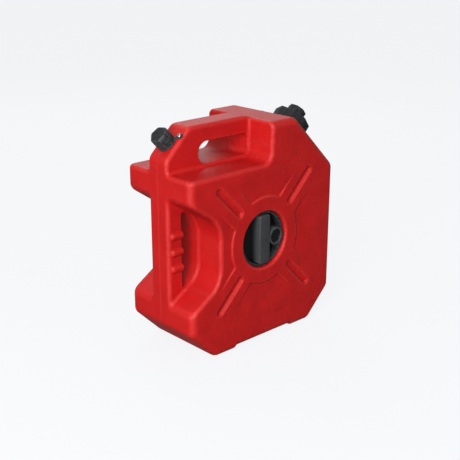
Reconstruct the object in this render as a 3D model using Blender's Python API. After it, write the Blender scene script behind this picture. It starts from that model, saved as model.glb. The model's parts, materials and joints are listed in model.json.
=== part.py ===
"""Five-litre jerry can with a locking mount knob through its middle.

Blow-moulded tank with a top handle and a side grip, a screwed filler with a
capped nozzle, a screwed breather on a tether, and a key-locked knob whose
shaft turns a cross bar at the back. Metres; X is the width (grip at -X),
-Y is the front, +Z is up. The origin is the middle of the footprint, on the
ground.
"""
import math

import bmesh
import bpy
from mathutils import Matrix, Vector

# ---------------------------------------------------------------- tank sizes
WIDTH = 0.242
HEIGHT = 0.280
DEPTH = 0.117
WALL = 0.0025
EDGE_RADIUS = 0.009
CORNER_RADIUS = 0.012

SHOULDER_DROP = 0.0025
SHOULDER_RAMP = 0.012
FILLER_CHAMFER = 0.070
BOTTOM_CHAMFER = 0.0385
HANDLE_CHAMFER = 0.035
FOOT_LENGTH = 0.031
FOOT_HEIGHT = 0.003
FOOT_RAMP = 0.005

BAR_DEPTH = 0.034
BAR_EDGE_RADIUS = 0.006
HANDLE_BAR_HEIGHT = 0.021
HANDLE_RECESS_DROP = 0.0515
HANDLE_RECESS_LENGTH = 0.1296
HANDLE_RECESS_RADIUS = 0.014
HANDLE_SILL = 0.004
HANDLE_WEB_LENGTH = 0.049
GRIP_BAR_WIDTH = 0.021
GRIP_RECESS_LENGTH = 0.047
GRIP_BOTTOM = 0.0658
GRIP_TOP_DROP = 0.080
GRIP_TOP_SLOPE = 0.69
GRIP_BOTTOM_SLOPE = 0.64
GRIP_RECESS_RADIUS = 0.015
WINDOW_LAND = 0.002
WINDOW_RADIUS = 0.007

RIB_COUNT = 3
RIB_PITCH = 0.0206
RIB_HEIGHT = 0.0085
RIB_PROUD = 0.0026
RIB_INSET = 0.004

SLOT_WIDTH = 0.0115
SLOT_DEPTH = 0.003
SLOT_INNER_RADIUS = 0.0545
SLOT_OUTER_RADIUS = 0.112

TUNNEL_X = -0.0015
TUNNEL_Z = 0.1332
TUNNEL_RADIUS = 0.036
TUNNEL_RIM_RADIUS = 0.0035
WAIST_HALF_LENGTH = 0.003
WAIST_STEP = 0.004

# ------------------------------------------------------------- fits and gaps
CONTACT_GAP = 0.0003
RUNNING_GAP = 0.0004
THREAD_GAP = 0.0015

# -------------------------------------------------------------------- filler
NECK_RADIUS = 0.0187
NECK_WALL = 0.0039
NECK_HEIGHT = 0.018
NECK_BOSS_STEP = 0.0038
NECK_BOSS_HEIGHT = 0.003
COLLAR_FLATS = 8
COLLAR_WALL = 0.0027
COLLAR_TURN = math.radians(172)
COLLAR_BASE = 0.004
COLLAR_LIP = 0.0043
COLLAR_EDGE = 0.0012
GASKET_THICKNESS = 0.0016
SPOUT_FLANGE = 0.0024
SPOUT_SPIGOT = 0.008
SPOUT_WALL = 0.0022
NOZZLE_RADIUS = 0.0086
NOZZLE_HEIGHT = 0.0134
NOZZLE_CAP_WALL = 0.00235
NOZZLE_CAP_TURN = math.radians(168)
NOZZLE_CAP_TOP = 0.0018
NOZZLE_CAP_EDGE = 0.001
NOZZLE_THREAD_GAP = 0.0006
NOZZLE_SEAL_THICKNESS = 0.0012

# ------------------------------------------------------------------ breather
BREATHER_SHIFT = -0.0025
BREATHER_NECK_RADIUS = 0.0072
BREATHER_BORE_RADIUS = 0.0045
BREATHER_NECK_HEIGHT = 0.0145
BREATHER_CAP_FLATS = 6
BREATHER_CAP_WALL = 0.0022
BREATHER_CAP_CROWN = 0.0009
BREATHER_CAP_TURN = math.radians(10)
BREATHER_CAP_EDGE = 0.0016
BREATHER_CAP_BASE = 0.0026
BREATHER_CAP_TOP = 0.0025
BREATHER_THREAD_GAP = 0.0009
BREATHER_SEAL_THICKNESS = 0.0015
TETHER_THICKNESS = 0.0017
TETHER_RING_PROUD = 0.0004
TETHER_STRAP_WIDTH = 0.0045
EYELET_RADIUS = 0.0037
EYELET_ALONG = 0.0125
EYELET_ACROSS = 0.0133
SCREW_RADIUS = 0.0015
SCREW_LENGTH = 0.0085
SCREW_HEAD_RADIUS = 0.0026
SCREW_HEAD_HEIGHT = 0.0013
BOSS_RADIUS = 0.0045
BOSS_LENGTH = 0.012

# ------------------------------------------------------------- mounting lock
HOUSING_SET_BACK = 0.005
HOUSING_WALL = 0.003
WEB_THICKNESS = 0.004
KNOB_FACE_DEPTH = 0.0146
KNOB_DISC_THICKNESS = 0.008
KNOB_BACK_THICKNESS = 0.0086
KNOB_BACK_FLOOR = 0.002
BAR_SET_BACK = 0.0006
KNOB_BAR_WIDTH = 0.0176
KNOB_BAR_END_GAP = 0.001
KNOB_BAR_RADIUS = 0.003
CYLINDER_EDGE_GAP = 0.0008
CYLINDER_SHAFT_GAP = 0.0026
CYLINDER_RIM = 0.0025
CYLINDER_SET_BACK = 0.003
CASE_WALL = 0.0017
KEYWAY_WIDTH = 0.0018
KEYWAY_EDGE = 0.0026
KEYWAY_DEPTH = 0.012
CAM_RADIUS = 0.006
CAM_THICKNESS = 0.002
CAM_THROW = 0.002
CAM_PIN_RADIUS = 0.0014
BOLT_THICKNESS = 0.0036
BOLT_WIDTH = 0.012
BOLT_TAIL = 0.009
BOLT_SLOT_GAP = 0.0005
BOLT_TRAVEL = math.sqrt(2) * CAM_THROW
SHAFT_RADIUS = 0.006
SHAFT_FRONT_DEPTH = 0.005
DRIVE_PIN_RADIUS = 0.00175
DRIVE_PIN_LENGTH = 0.026
DRIVE_PIN_DEPTH = 0.0205
WASHER_RADIUS = 0.010
WASHER_THICKNESS = 0.0015
SPRING_RADIUS = 0.009
SPRING_WIRE_RADIUS = 0.001
SPRING_LENGTH = 0.022
SPRING_TURNS = 5
CLIP_RADIUS = 0.0095
CLIP_THICKNESS = 0.0012
CLIP_GROOVE = 0.001
CLIP_OPENING = math.radians(70)
REAR_WEB_SET_BACK = 0.027
CROSS_BAR_END_GAP = 0.0076
CROSS_BAR_WIDTH = 0.013
CROSS_BAR_THICKNESS = 0.006
CROSS_BAR_ROUNDING = 0.0058
SHAFT_END_RADIUS = 0.005
NUT_ACROSS = 0.017
NUT_THICKNESS = 0.007
KNOB_SCREW_COUNT = 3
KNOB_SCREW_INSET = 0.0072
KNOB_SCREW_TURN = math.radians(75)
KNOB_SCREW_RADIUS = 0.0014
KNOB_SCREW_HEAD_RADIUS = 0.0027
KNOB_SCREW_HEAD_HEIGHT = 0.0015
KNOB_SCREW_LENGTH = 0.012

# ------------------------------------------------------------ mesh fineness
CORNER_STEPS = 4
ROUNDING_STEPS = 2
TURN_STEPS = 36
SMALL_TURN_STEPS = 24
SCREW_STEPS = 12
WIRE_STEPS_PER_TURN = 12
CUT_MARGIN = 0.010
ROUNDING_SHARE = 0.49
SMALLEST_RADIUS = 0.0002

# ---------------------------------------------------------- worked-out sizes
HALF_WIDTH = WIDTH / 2
HALF_DEPTH = DEPTH / 2
BODY_TOP = HEIGHT - SHOULDER_DROP
SHELF_Z = HEIGHT - HANDLE_RECESS_DROP
HANDLE_RECESS_X = -HALF_WIDTH + HANDLE_RECESS_LENGTH
GRIP_RECESS_X = -HALF_WIDTH + GRIP_RECESS_LENGTH
GRIP_BAR_X = -HALF_WIDTH + GRIP_BAR_WIDTH

NECK_BORE_RADIUS = NECK_RADIUS - NECK_WALL
NECK_BOSS_RADIUS = NECK_RADIUS + NECK_BOSS_STEP
COLLAR_RADIUS = (NECK_RADIUS + THREAD_GAP + COLLAR_WALL) / math.cos(math.pi / COLLAR_FLATS)
NOZZLE_CAP_RADIUS = ((NOZZLE_RADIUS + NOZZLE_THREAD_GAP + NOZZLE_CAP_WALL)
                     / math.cos(math.pi / COLLAR_FLATS))
BREATHER_CAP_ACROSS = 2 * (BREATHER_NECK_RADIUS + BREATHER_THREAD_GAP + BREATHER_CAP_WALL)
BREATHER_CAP_RADIUS = BREATHER_CAP_ACROSS / 2 + BREATHER_CAP_CROWN
TETHER_RING_RADIUS = BREATHER_CAP_RADIUS + TETHER_RING_PROUD

HOUSING_RADIUS = TUNNEL_RADIUS - RUNNING_GAP
HOUSING_BORE_RADIUS = HOUSING_RADIUS - HOUSING_WALL
KNOB_RADIUS = HOUSING_BORE_RADIUS - RUNNING_GAP
CYLINDER_BOSS_RADIUS = (KNOB_RADIUS - CYLINDER_EDGE_GAP - SHAFT_RADIUS - CYLINDER_SHAFT_GAP) / 2
CYLINDER_OFFSET = KNOB_RADIUS - CYLINDER_EDGE_GAP - CYLINDER_BOSS_RADIUS

RED = ("red_polyethylene", (0.52, 0.012, 0.012), 0.45, 0.0)
BLACK = ("black_plastic", (0.018, 0.019, 0.020), 0.42, 0.0)
GREY = ("dark_grey_plastic", (0.045, 0.047, 0.050), 0.5, 0.0)
RUBBER = ("black_rubber", (0.012, 0.012, 0.012), 0.8, 0.0)
STEEL = ("zinc_steel", (0.62, 0.62, 0.60), 0.32, 1.0)
BLACK_NICKEL = ("nickel_plate", (0.06, 0.06, 0.06), 0.35, 1.0)


# ------------------------------------------------------------------ outlines
def rounded_outline(corners):
    """Closed outline from counter-clockwise (x, z, radius) corners.

    A corner's radius is limited to what its two sides leave room for.
    """
    points = []
    count = len(corners)
    for index, (x, z, radius) in enumerate(corners):
        here = Vector((x, z))
        if radius == 0:
            points.append(here)
            continue
        before = Vector(corners[index - 1][:2]) - here
        after = Vector(corners[(index + 1) % count][:2]) - here
        half_angle = before.angle(after) / 2
        room = ROUNDING_SHARE * min(before.length, after.length)
        radius = min(radius, room * math.tan(half_angle))
        before.normalize()
        after.normalize()
        centre = here + (before + after).normalized() * radius / math.sin(half_angle)
        start = here + before * radius / math.tan(half_angle) - centre
        end = here + after * radius / math.tan(half_angle) - centre
        sweep = start.angle_signed(end)
        for step in range(CORNER_STEPS + 1):
            points.append(centre + Matrix.Rotation(-sweep * step / CORNER_STEPS, 2) @ start)
    return points


def inset_corners(corners, inset):
    """The corners moved inwards by inset, with their radii to match."""
    moved = []
    count = len(corners)
    for index, (x, z, radius) in enumerate(corners):
        here = Vector((x, z))
        before = (here - Vector(corners[index - 1][:2])).normalized()
        after = (Vector(corners[(index + 1) % count][:2]) - here).normalized()
        normal_before = Vector((-before.y, before.x))
        normal_after = Vector((-after.y, after.x))
        bisector = (normal_before + normal_after).normalized()
        place = here + bisector * inset / bisector.dot(normal_before)
        if radius > 0:
            outward = before.x * after.y - before.y * after.x > 0
            radius = max(radius - inset if outward else radius + inset, SMALLEST_RADIUS)
        moved.append((place.x, place.y, radius))
    return moved


def block_corners():
    """Front outline of the whole can, without its recesses."""
    foot_start = -HALF_WIDTH + BOTTOM_CHAMFER
    foot_end = foot_start + FOOT_LENGTH
    arch_start = foot_end + FOOT_RAMP
    ramp_start = HANDLE_RECESS_X + SHOULDER_RAMP / 2
    ramp_end = HANDLE_RECESS_X - SHOULDER_RAMP / 2
    small = CORNER_RADIUS / 4
    return [
        (foot_start, 0, CORNER_RADIUS),
        (foot_end, 0, small),
        (arch_start, FOOT_HEIGHT, small),
        (-arch_start, FOOT_HEIGHT, small),
        (-foot_end, 0, small),
        (-foot_start, 0, CORNER_RADIUS),
        (HALF_WIDTH, BOTTOM_CHAMFER, CORNER_RADIUS),
        (HALF_WIDTH, BODY_TOP - FILLER_CHAMFER, CORNER_RADIUS),
        (HALF_WIDTH - FILLER_CHAMFER, BODY_TOP, CORNER_RADIUS),
        (ramp_start, BODY_TOP, SHOULDER_RAMP / 2),
        (ramp_end, HEIGHT, SHOULDER_RAMP / 2),
        (-HALF_WIDTH + HANDLE_CHAMFER, HEIGHT, CORNER_RADIUS),
        (-HALF_WIDTH, HEIGHT - HANDLE_CHAMFER, CORNER_RADIUS),
        (-HALF_WIDTH, BOTTOM_CHAMFER, CORNER_RADIUS),
    ]


def handle_recess_corners():
    """Space in front of and behind the top handle."""
    left = -HALF_WIDTH - CUT_MARGIN
    top = HEIGHT + CUT_MARGIN
    return [
        (left, SHELF_Z, 0),
        (HANDLE_RECESS_X, SHELF_Z, HANDLE_RECESS_RADIUS),
        (HANDLE_RECESS_X, top, 0),
        (left, top, 0),
    ]


def grip_edges(x):
    """Lower and upper edge of the grip recess at x."""
    reach = x + HALF_WIDTH
    return GRIP_BOTTOM + GRIP_BOTTOM_SLOPE * reach, HEIGHT - GRIP_TOP_DROP - GRIP_TOP_SLOPE * reach


def grip_recess_corners():
    """Space in front of and behind the side grip."""
    left = -HALF_WIDTH - CUT_MARGIN
    outer_low, outer_high = grip_edges(left)
    inner_low, inner_high = grip_edges(GRIP_RECESS_X)
    return [
        (left, outer_low, 0),
        (GRIP_RECESS_X, inner_low, GRIP_RECESS_RADIUS),
        (GRIP_RECESS_X, inner_high, GRIP_RECESS_RADIUS),
        (left, outer_high, 0),
    ]


def handle_window_corners():
    """Finger opening under the top handle."""
    left = -HALF_WIDTH + HANDLE_WEB_LENGTH
    right = HANDLE_RECESS_X - WINDOW_LAND
    low = SHELF_Z + HANDLE_SILL
    high = HEIGHT - HANDLE_BAR_HEIGHT
    round_end = (high - low) / 2 * 0.98
    return [
        (left, low, round_end),
        (right, low, WINDOW_RADIUS),
        (right, high, WINDOW_RADIUS),
        (left, high, round_end),
    ]


def grip_window_corners():
    """Finger opening beside the side grip, a land inside the recess."""
    right = GRIP_RECESS_X - WINDOW_LAND
    outer_low, outer_high = grip_edges(GRIP_BAR_X)
    inner_low, inner_high = grip_edges(right)
    low_land = WINDOW_LAND * math.hypot(1, GRIP_BOTTOM_SLOPE)
    high_land = WINDOW_LAND * math.hypot(1, GRIP_TOP_SLOPE)
    return [
        (GRIP_BAR_X, outer_low + low_land, WINDOW_RADIUS),
        (right, inner_low + low_land, GRIP_RECESS_RADIUS),
        (right, inner_high - high_land, GRIP_RECESS_RADIUS),
        (GRIP_BAR_X, outer_high - high_land, WINDOW_RADIUS),
    ]


# -------------------------------------------------------------- mesh helpers
def material_for(finish):
    """The Principled material of a finish, made once."""
    name, colour, roughness, metallic = finish
    if name in bpy.data.materials:
        return bpy.data.materials[name]
    material = bpy.data.materials.new(name)
    material.use_nodes = True
    shader = material.node_tree.nodes["Principled BSDF"]
    shader.inputs["Base Color"].default_value = (*colour, 1)
    shader.inputs["Roughness"].default_value = roughness
    shader.inputs["Metallic"].default_value = metallic
    material.diffuse_color = (*colour, 1)
    return material


def add_object(name, mesh_builder, parent, finish=None, smooth=True):
    """A new object from a bmesh; without a finish it is a hidden cutter."""
    bmesh.ops.recalc_face_normals(mesh_builder, faces=mesh_builder.faces)
    mesh = bpy.data.meshes.new(name)
    mesh_builder.to_mesh(mesh)
    mesh_builder.free()
    thing = bpy.data.objects.new(name, mesh)
    bpy.context.scene.collection.objects.link(thing)
    thing.parent = parent
    if finish is None:
        thing.hide_render = True
        thing.display_type = "WIRE"
        return thing
    mesh.materials.append(material_for(finish))
    if smooth:
        mesh.shade_smooth()
        mesh.set_sharp_from_angle(angle=math.radians(35))
    return thing


def add_empty(name, location, rotation, parent=None):
    """An empty that carries the pieces on one axis."""
    empty = bpy.data.objects.new(name, None)
    bpy.context.scene.collection.objects.link(empty)
    empty.location = location
    empty.rotation_euler = rotation
    empty.parent = parent
    return empty


def boolean(target, other, operation="DIFFERENCE"):
    """Cut or join another object, which becomes a hidden tool."""
    modifier = target.modifiers.new(operation.lower() + "_" + other.name, "BOOLEAN")
    modifier.operation = operation
    modifier.solver = "EXACT"
    modifier.object = other
    other.hide_render = True
    other.display_type = "WIRE"
    return target


def loft(name, sections, parent, finish=None, smooth=True):
    """Closed body through rings of points that all have the same count."""
    builder = bmesh.new()
    rings = [[builder.verts.new(point) for point in section] for section in sections]
    for low, high in zip(rings, rings[1:]):
        for index in range(len(low)):
            following = (index + 1) % len(low)
            builder.faces.new((low[index], low[following], high[following], high[index]))
    builder.faces.new(rings[0])
    builder.faces.new(reversed(rings[-1]))
    return add_object(name, builder, parent, finish, smooth)


def slab(name, corners, half_depth, edge_radius, parent, finish=None):
    """An XZ outline extruded along Y, with rounded front and back edges."""
    sections = []
    for side in (-1, 1):
        steps = range(ROUNDING_STEPS + 1) if edge_radius > 0 else [0]
        side_sections = []
        for step in steps:
            angle = step / ROUNDING_STEPS * math.pi / 2
            ring = rounded_outline(inset_corners(corners, edge_radius * (1 - math.cos(angle))))
            y = side * (half_depth - edge_radius * (1 - math.sin(angle)))
            side_sections.append([(point.x, y, point.y) for point in ring])
        sections += side_sections[::-1] if side < 0 else side_sections
    return loft(name, sections, parent, finish)


def prism(name, corners, low, high, parent, finish=None, edge=0.0, smooth=False):
    """An XY outline extruded along Z, with an optional chamfer at its top."""
    heights = [(low, 0.0), (high - edge, 0.0)]
    if edge > 0:
        heights.append((high, edge))
    sections = [[(point.x, point.y, height)
                 for point in rounded_outline(inset_corners(corners, inset))]
                for height, inset in heights]
    return loft(name, sections, parent, finish, smooth)


def turned(name, profile, parent, finish=None, steps=TURN_STEPS, sweep=2 * math.pi):
    """A profile of (radius, height) turned about Z.

    A profile that starts and ends on the axis, at radius 0, gets flat ends;
    any other profile is a closed loop.
    """
    full = sweep > 2 * math.pi - 0.001
    columns = steps if full else steps + 1
    solid = profile[0][0] == 0
    builder = bmesh.new()
    rings = []
    for radius, height in (profile[1:-1] if solid else profile):
        angles = [sweep * column / steps for column in range(columns)]
        rings.append([builder.verts.new((radius * math.cos(angle), radius * math.sin(angle), height))
                      for angle in angles])
    pairs = list(zip(rings, rings[1:]))
    if solid:
        builder.faces.new(rings[0])
        builder.faces.new(reversed(rings[-1]))
    else:
        pairs.append((rings[-1], rings[0]))
    for low, high in pairs:
        for column in range(steps):
            following = (column + 1) % columns
            builder.faces.new((low[column], low[following], high[following], high[column]))
    if not full:
        builder.faces.new([ring[0] for ring in rings])
        builder.faces.new([ring[-1] for ring in reversed(rings)])
    return add_object(name, builder, parent, finish)


def tube_profile(outer, inner, low, high):
    """Profile of a plain ring."""
    return [(outer, low), (outer, high), (inner, high), (inner, low)]


def rod_profile(radius, low, high):
    """Profile of a plain cylinder."""
    return [(0, low), (radius, low), (radius, high), (0, high)]


def polygon(count, radius, turn=0.0):
    """Sharp corners of a regular polygon."""
    return [(radius * math.cos(turn + 2 * math.pi * k / count),
             radius * math.sin(turn + 2 * math.pi * k / count), 0) for k in range(count)]


def rectangle(width, length, radius, centre=(0.0, 0.0)):
    """Corners of a rounded rectangle."""
    x, y = centre
    return [
        (x - width / 2, y - length / 2, radius),
        (x + width / 2, y - length / 2, radius),
        (x + width / 2, y + length / 2, radius),
        (x - width / 2, y + length / 2, radius),
    ]


# ---------------------------------------------------------------------- tank
def tunnel_profile(inset):
    """Turned cutter for the tunnel, with flared rims and a waist."""
    radius = TUNNEL_RADIUS + inset
    waist = radius - WAIST_STEP
    waist_end = WAIST_HALF_LENGTH - inset
    rim = TUNNEL_RIM_RADIUS
    face = HALF_DEPTH - inset
    half = [(waist, 0), (waist, waist_end), (radius, waist_end)]
    for step in range(ROUNDING_STEPS + 1):
        angle = step / ROUNDING_STEPS * math.pi / 2
        half.append((radius + rim * (1 - math.cos(angle)), face - rim * (1 - math.sin(angle))))
    half.append((radius + rim, face + CUT_MARGIN))
    mirrored = [(r, -height) for r, height in reversed(half[1:])]
    return [(0, -face - CUT_MARGIN)] + mirrored + half[1:] + [(0, face + CUT_MARGIN)]


def slot_cutter(name, inset, side, parent):
    """Four radial slots for one face, as one tool."""
    low = HALF_DEPTH - SLOT_DEPTH - inset
    high = HALF_DEPTH - inset + CUT_MARGIN
    width = SLOT_WIDTH + 2 * inset
    inner = SLOT_INNER_RADIUS - inset
    outer = SLOT_OUTER_RADIUS + inset
    builder = bmesh.new()
    for quarter in range(4):
        angle = math.pi / 4 + quarter * math.pi / 2
        outline = rounded_outline(rectangle(outer - inner, width, width / 2,
                                            ((outer + inner) / 2, 0)))
        rings = []
        for y in (side * low, side * high):
            ring = []
            for point in outline:
                x = point.x * math.cos(angle) - point.y * math.sin(angle)
                z = point.x * math.sin(angle) + point.y * math.cos(angle)
                ring.append(builder.verts.new((TUNNEL_X + x, y, TUNNEL_Z + z)))
            rings.append(ring)
        count = len(outline)
        for index in range(count):
            following = (index + 1) % count
            builder.faces.new((rings[0][index], rings[0][following],
                               rings[1][following], rings[1][index]))
        builder.faces.new(rings[0])
        builder.faces.new(reversed(rings[1]))
    return add_object(name, builder, parent)


def tank_volume(name, inset, root, finish=None):
    """The can's outer shape moved inwards by inset on every side."""
    tag = name + "_"
    block = slab(name, inset_corners(block_corners(), inset), HALF_DEPTH - inset,
                 EDGE_RADIUS - inset, root, finish)
    bar_keep = slab(tag + "bar_keep", inset_corners(block_corners(), inset - WINDOW_LAND / 2),
                    BAR_DEPTH / 2 - inset, BAR_EDGE_RADIUS - inset, root)
    for label, corners in (("handle_recess", handle_recess_corners()),
                           ("grip_recess", grip_recess_corners())):
        recess = slab(tag + label, inset_corners(corners, -inset), HALF_DEPTH + CUT_MARGIN, 0, root)
        boolean(recess, bar_keep)
        boolean(block, recess)
    for label, corners in (("handle_window", handle_window_corners()),
                           ("grip_window", grip_window_corners())):
        boolean(block, slab(tag + label, inset_corners(corners, -inset), HALF_DEPTH, 0, root))
    tunnel = turned(tag + "tunnel", tunnel_profile(inset), root)
    tunnel.location = (TUNNEL_X, 0, TUNNEL_Z)
    tunnel.rotation_euler = (math.pi / 2, 0, 0)
    boolean(block, tunnel)
    for label, side in (("front_slots", -1), ("back_slots", 1)):
        boolean(block, slot_cutter(tag + label, inset, side, root))
    return block


def add_ribs(tank, root):
    """Finger ribs around the side grip."""
    width = GRIP_BAR_WIDTH + RIB_PROUD - RIB_INSET
    centre_x = -HALF_WIDTH + RIB_INSET + width / 2
    centre_z = sum(grip_edges(GRIP_BAR_X)) / 2
    for index in range(RIB_COUNT):
        z = centre_z + (index - (RIB_COUNT - 1) / 2) * RIB_PITCH
        corners = rectangle(width, RIB_HEIGHT, RIB_PROUD, (centre_x, z))
        rib = slab("grip_rib_%d" % (index + 1), corners, BAR_DEPTH / 2 + RIB_PROUD,
                   RIB_PROUD * 0.9, root)
        boolean(tank, rib, "UNION")


def build_tank(root, filler, breather):
    """Hollow shell with its tunnel, necks and screw boss."""
    tank = tank_volume("tank_body", 0.0, root, RED)
    add_ribs(tank, root)
    inside = tank_volume("tank_inside", WALL, root)
    boss = turned("screw_boss", rod_profile(BOSS_RADIUS, -BOSS_LENGTH, CUT_MARGIN), breather,
                  steps=SMALL_TURN_STEPS)
    boss.location = (EYELET_ALONG, -EYELET_ACROSS, 0)
    boolean(inside, boss)
    boolean(tank, inside)

    root_depth = -WALL / 2
    filler_stub = turned("filler_stub", [
        (0, root_depth), (NECK_BOSS_RADIUS, root_depth), (NECK_BOSS_RADIUS, NECK_BOSS_HEIGHT),
        (NECK_RADIUS, NECK_BOSS_HEIGHT), (NECK_RADIUS, NECK_HEIGHT), (0, NECK_HEIGHT)], filler)
    filler_bore = turned("filler_bore", rod_profile(NECK_BORE_RADIUS, -4 * WALL,
                                                    NECK_HEIGHT + CUT_MARGIN), filler)
    breather_stub = turned("breather_stub", rod_profile(BREATHER_NECK_RADIUS, root_depth,
                                                        BREATHER_NECK_HEIGHT), breather,
                           steps=SMALL_TURN_STEPS)
    breather_bore = turned("breather_bore", rod_profile(BREATHER_BORE_RADIUS, -4 * WALL,
                                                        BREATHER_NECK_HEIGHT + CUT_MARGIN),
                           breather, steps=SMALL_TURN_STEPS)
    screw_hole = turned("screw_hole", rod_profile(SCREW_RADIUS + CONTACT_GAP,
                                                  -SCREW_LENGTH - CONTACT_GAP, CUT_MARGIN),
                        breather, steps=SCREW_STEPS)
    screw_hole.location = boss.location
    boolean(tank, filler_stub, "UNION")
    boolean(tank, breather_stub, "UNION")
    for bore in (filler_bore, breather_bore, screw_hole):
        boolean(tank, bore)
    return tank


# -------------------------------------------------------------------- filler
def build_filler(axis):
    """Collar nut, clamped spout, gasket, nozzle cap and its seal."""
    gasket_low = NECK_HEIGHT + CONTACT_GAP
    gasket_high = gasket_low + GASKET_THICKNESS
    flange_low = gasket_high + CONTACT_GAP
    flange_high = flange_low + SPOUT_FLANGE
    lip_low = flange_high + CONTACT_GAP
    collar_top = lip_low + COLLAR_LIP
    flange_radius = NECK_RADIUS - RUNNING_GAP
    nozzle_top = flange_high + NOZZLE_HEIGHT
    nozzle_bore = NOZZLE_RADIUS - SPOUT_WALL
    spigot_radius = NECK_BORE_RADIUS - RUNNING_GAP
    spigot_low = flange_low - SPOUT_SPIGOT
    seal_low = nozzle_top + CONTACT_GAP
    seal_high = seal_low + NOZZLE_SEAL_THICKNESS
    cap_inside = seal_high + CONTACT_GAP
    cap_low = collar_top + RUNNING_GAP
    cap_bore = NOZZLE_RADIUS + NOZZLE_THREAD_GAP

    turned("neck_gasket", tube_profile(flange_radius, NECK_BORE_RADIUS + RUNNING_GAP,
                                       gasket_low, gasket_high), axis, RUBBER)
    turned("pour_spout", [
        (spigot_radius, spigot_low), (spigot_radius, flange_low), (flange_radius, flange_low),
        (flange_radius, flange_high), (NOZZLE_RADIUS, flange_high), (NOZZLE_RADIUS, nozzle_top),
        (nozzle_bore, nozzle_top), (nozzle_bore, flange_low - SPOUT_WALL / 2),
        (spigot_radius - SPOUT_WALL, flange_low - SPOUT_WALL / 2),
        (spigot_radius - SPOUT_WALL, spigot_low)], axis, BLACK)

    collar = prism("filler_collar", polygon(COLLAR_FLATS, COLLAR_RADIUS, COLLAR_TURN),
                   COLLAR_BASE, collar_top, axis, BLACK, edge=COLLAR_EDGE)
    thread_bore = NECK_RADIUS + THREAD_GAP
    boolean(collar, turned("collar_bore", [
        (0, COLLAR_BASE - CUT_MARGIN), (thread_bore, COLLAR_BASE - CUT_MARGIN),
        (thread_bore, lip_low), (NOZZLE_RADIUS + RUNNING_GAP * 2, lip_low),
        (NOZZLE_RADIUS + RUNNING_GAP * 2, collar_top + CUT_MARGIN),
        (0, collar_top + CUT_MARGIN)], axis))

    turned("nozzle_seal", rod_profile(NOZZLE_RADIUS - RUNNING_GAP, seal_low, seal_high), axis,
           RUBBER, steps=SMALL_TURN_STEPS)
    cap = prism("nozzle_cap", polygon(COLLAR_FLATS, NOZZLE_CAP_RADIUS, NOZZLE_CAP_TURN),
                cap_low, cap_inside + NOZZLE_CAP_TOP, axis, BLACK, edge=NOZZLE_CAP_EDGE)
    boolean(cap, turned("nozzle_cap_bore", rod_profile(cap_bore, cap_low - CUT_MARGIN, cap_inside),
                        axis, steps=SMALL_TURN_STEPS))


# ------------------------------------------------------------------ breather
def breather_cap_corners():
    """A circle with six flats."""
    half_flat = math.acos(BREATHER_CAP_ACROSS / 2 / BREATHER_CAP_RADIUS)
    points = []
    for flat in range(BREATHER_CAP_FLATS):
        middle = BREATHER_CAP_TURN + 2 * math.pi * flat / BREATHER_CAP_FLATS
        gap = 2 * math.pi / BREATHER_CAP_FLATS - 2 * half_flat
        for angle in (middle - half_flat, middle + half_flat, middle + half_flat + gap / 2):
            points.append((BREATHER_CAP_RADIUS * math.cos(angle),
                           BREATHER_CAP_RADIUS * math.sin(angle), 0))
    return points


def build_breather(axis):
    """Breather cap, its seal, the tether and the tether's screw."""
    seal_low = BREATHER_NECK_HEIGHT + CONTACT_GAP
    seal_high = seal_low + BREATHER_SEAL_THICKNESS
    inside_top = seal_high + CONTACT_GAP
    cap_bore = BREATHER_NECK_RADIUS + BREATHER_THREAD_GAP
    turned("breather_seal", rod_profile(BREATHER_NECK_RADIUS, seal_low, seal_high), axis, RUBBER,
           steps=SMALL_TURN_STEPS)
    cap = prism("breather_cap", breather_cap_corners(), BREATHER_CAP_BASE,
                inside_top + BREATHER_CAP_TOP, axis, BLACK, edge=BREATHER_CAP_EDGE)
    boolean(cap, turned("breather_cap_bore", rod_profile(cap_bore, BREATHER_CAP_BASE - CUT_MARGIN,
                                                         inside_top), axis,
                        steps=SMALL_TURN_STEPS))

    low = CONTACT_GAP
    high = low + TETHER_THICKNESS
    eyelet = Vector((EYELET_ALONG, -EYELET_ACROSS))
    tether = turned("breather_tether", rod_profile(TETHER_RING_RADIUS, low, high), axis, BLACK,
                    steps=TURN_STEPS)
    pad = turned("tether_eyelet", rod_profile(EYELET_RADIUS, low, high), axis,
                 steps=SMALL_TURN_STEPS)
    pad.location = (*eyelet, 0)
    strap = prism("tether_strap", rectangle(eyelet.length, TETHER_STRAP_WIDTH, 0,
                                            (eyelet.length / 2, 0)), low, high, axis)
    strap.rotation_euler = (0, 0, math.atan2(eyelet.y, eyelet.x))
    boolean(tether, strap, "UNION")
    boolean(tether, pad, "UNION")
    boolean(tether, turned("tether_bore", rod_profile(BREATHER_NECK_RADIUS + RUNNING_GAP,
                                                      -CUT_MARGIN, CUT_MARGIN), axis,
                           steps=SMALL_TURN_STEPS))
    screw_bore = turned("tether_screw_bore", rod_profile(SCREW_RADIUS + CONTACT_GAP, -CUT_MARGIN,
                                                         CUT_MARGIN), axis, steps=SCREW_STEPS)
    screw_bore.location = pad.location
    boolean(tether, screw_bore)

    head_low = high + CONTACT_GAP
    head_high = head_low + SCREW_HEAD_HEIGHT
    screw = turned("tether_screw", [
        (0, -SCREW_LENGTH), (SCREW_RADIUS, -SCREW_LENGTH), (SCREW_RADIUS, head_low),
        (SCREW_HEAD_RADIUS, head_low), (SCREW_HEAD_RADIUS, head_low + SCREW_HEAD_HEIGHT / 2),
        (SCREW_HEAD_RADIUS * 0.7, head_high), (0, head_high)], axis, STEEL,
        steps=SMALL_TURN_STEPS)
    screw.location = pad.location


# ------------------------------------------------------------- mounting lock
def at_cylinder(thing):
    """Move a piece from the shaft axis to the key cylinder's axis."""
    thing.location = (CYLINDER_OFFSET, 0, 0)
    return thing


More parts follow.
